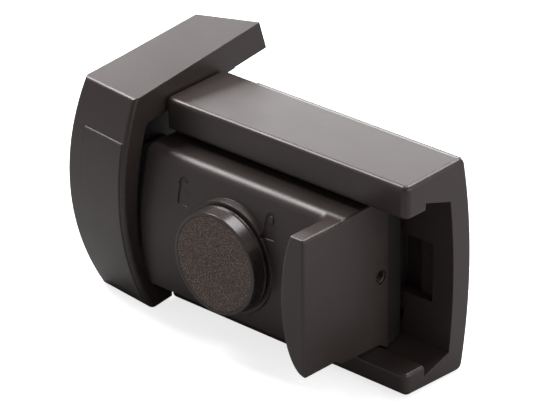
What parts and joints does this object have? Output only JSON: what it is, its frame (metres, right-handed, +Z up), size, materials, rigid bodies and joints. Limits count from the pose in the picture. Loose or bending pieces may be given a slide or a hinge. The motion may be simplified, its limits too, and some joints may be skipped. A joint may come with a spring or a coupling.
{
  "type": "window bar lock",
  "caption": "Surface-mounted sliding bar lock for a window: railed slide with locking knob and finger tab, and a barrelled keeper with an arm.",
  "frame": {"origin": "centre of the rail packing plate's back face, which seats on the sash", "axes": "+X along the rail away from the keeper, +Y into the window, +Z up"},
  "size_m": [0.1113, 0.063, 0.0718],
  "materials": {
    "dark_paint": "satin fine texture",
    "grained_insert": "coarse grain",
    "steel": "bright zinc plated",
    "brass": "turned",
    "nylon": "moulded",
    "rubber": "matt"
  },
  "bodies": {
    "root": {"rail": "dark_paint", "rail_packer": "nylon", "keeper": "dark_paint", "keeper_cover": "dark_paint", "keeper_packer": "nylon", "keeper_buffer": "rubber"},
    "slide": {"slide_body": "dark_paint", "guide_plate": "dark_paint", "guide_screws": "steel", "slide_glides": "nylon", "knob_seal": "rubber", "spindle_bush": "brass", "rear_bush": "brass", "thrust_washer": "steel", "detent_ball": "steel", "detent_spring": "steel", "stop_pin": "steel", "return_springs": "steel"},
    "knob_set": {"knob": "dark_paint", "knob_insert": "grained_insert", "knob_screw": "steel", "spindle": "steel", "cam": "steel", "spindle_clip": "steel"},
    "lock_set": {"locking_plate": "steel"}
  },
  "joints": [
    {"name": "slide_run", "type": "slide", "parent": "root", "child": "slide", "axis": [1, 0, 0], "range_m": [-0.0088, 0.0155]},
    {"name": "knob_turn", "type": "hinge", "parent": "slide", "child": "knob_set", "pos_m": [-0.0101, -0.047, -0.0029], "axis": [0, 1, 0], "range_deg": [0, 90]},
    {"name": "lock_shift", "type": "slide", "parent": "slide", "child": "lock_set", "axis": [0, 1, 0], "range_m": [0, 0.0045], "deforming": ["return_springs"]}
  ],
  "couplings": [
    {"joint": "lock_shift", "follows": "knob_turn", "m_per_rad": 0.0028647}
  ]
}
